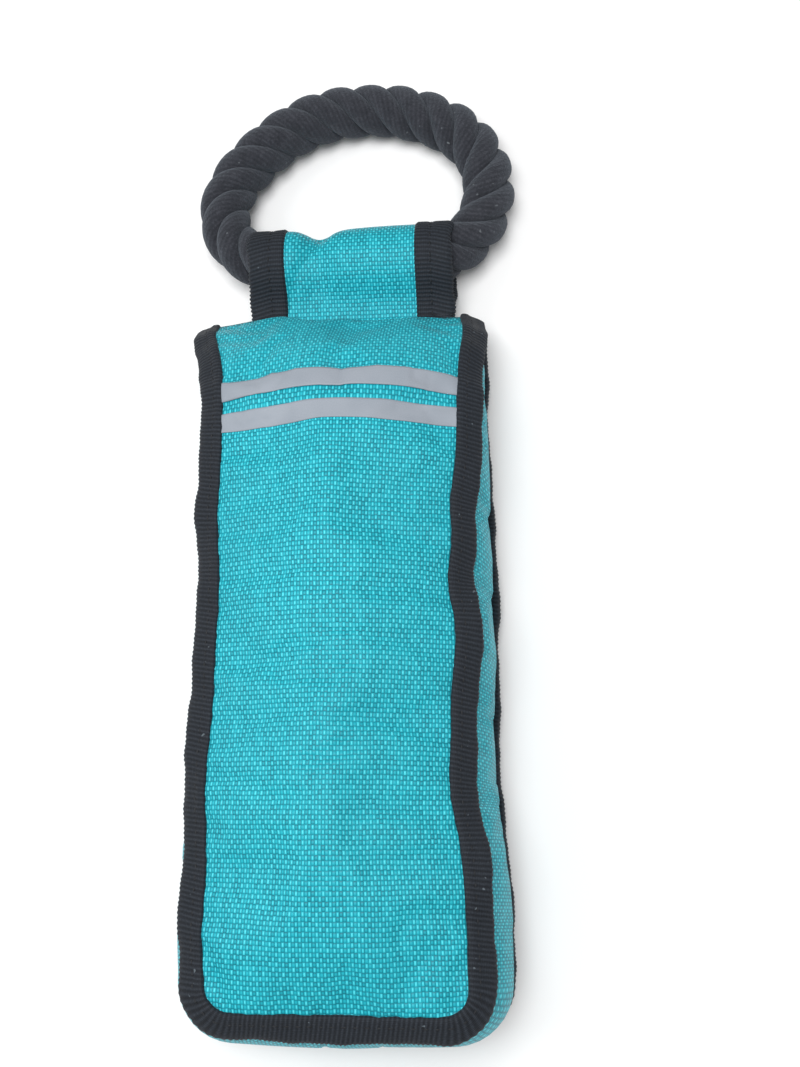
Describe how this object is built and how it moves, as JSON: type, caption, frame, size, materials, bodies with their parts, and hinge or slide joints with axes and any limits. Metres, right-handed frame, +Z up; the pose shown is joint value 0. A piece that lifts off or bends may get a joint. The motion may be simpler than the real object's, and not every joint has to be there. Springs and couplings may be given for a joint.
{
  "type": "training bumper",
  "caption": "Stuffed fabric training bumper with bound edges, reflective strips and an oval rope ring held in a folded strap tab.",
  "frame": {"origin": "middle of the footprint, on the surface that the bumper lies on", "axes": "+X across the bumper, +Y along it from the bottom end to the rope ring, +Z up out of the front panel"},
  "size_m": [0.121, 0.3519, 0.0666],
  "materials": {
    "cloth": "teal coated plain-weave nylon with a soft sheen",
    "tape": "black ribbed binding tape, matte",
    "reflective": "flat grey retroreflective tape",
    "rope": "charcoal twisted cotton, matte",
    "wrap": "black whipping thread",
    "thread": "black sewing thread",
    "fibre": "white polyester fibre filling"
  },
  "bodies": {
    "body": {"front_panel": "cloth", "back_panel": "cloth", "gusset": "cloth", "filling": "fibre", "front_binding": "tape", "back_binding": "tape", "front_binding_stitches": "thread", "back_binding_stitches": "thread", "reflective_strip_upper": "reflective", "reflective_strip_lower": "reflective", "tab_root": "cloth", "top_seam_stitches": "thread"},
    "tab": {"tab_web": "cloth", "tab_binding_left": "tape", "tab_binding_right": "tape", "tab_stitches_left": "thread", "tab_stitches_right": "thread"},
    "ring": {"rope_ring": "rope", "rope_joint_wrap": "wrap"}
  },
  "joints": [
    {"name": "tab_flex", "type": "hinge", "parent": "body", "child": "tab", "pos_m": [0, 0.0782, 0.015], "axis": [1, 0, 0], "range_deg": [-55, 55]},
    {"name": "ring_swing", "type": "hinge", "parent": "tab", "child": "ring", "pos_m": [0, 0.101, 0.0134], "axis": [1, 0, 0], "range_deg": [-85, 85]}
  ]
}
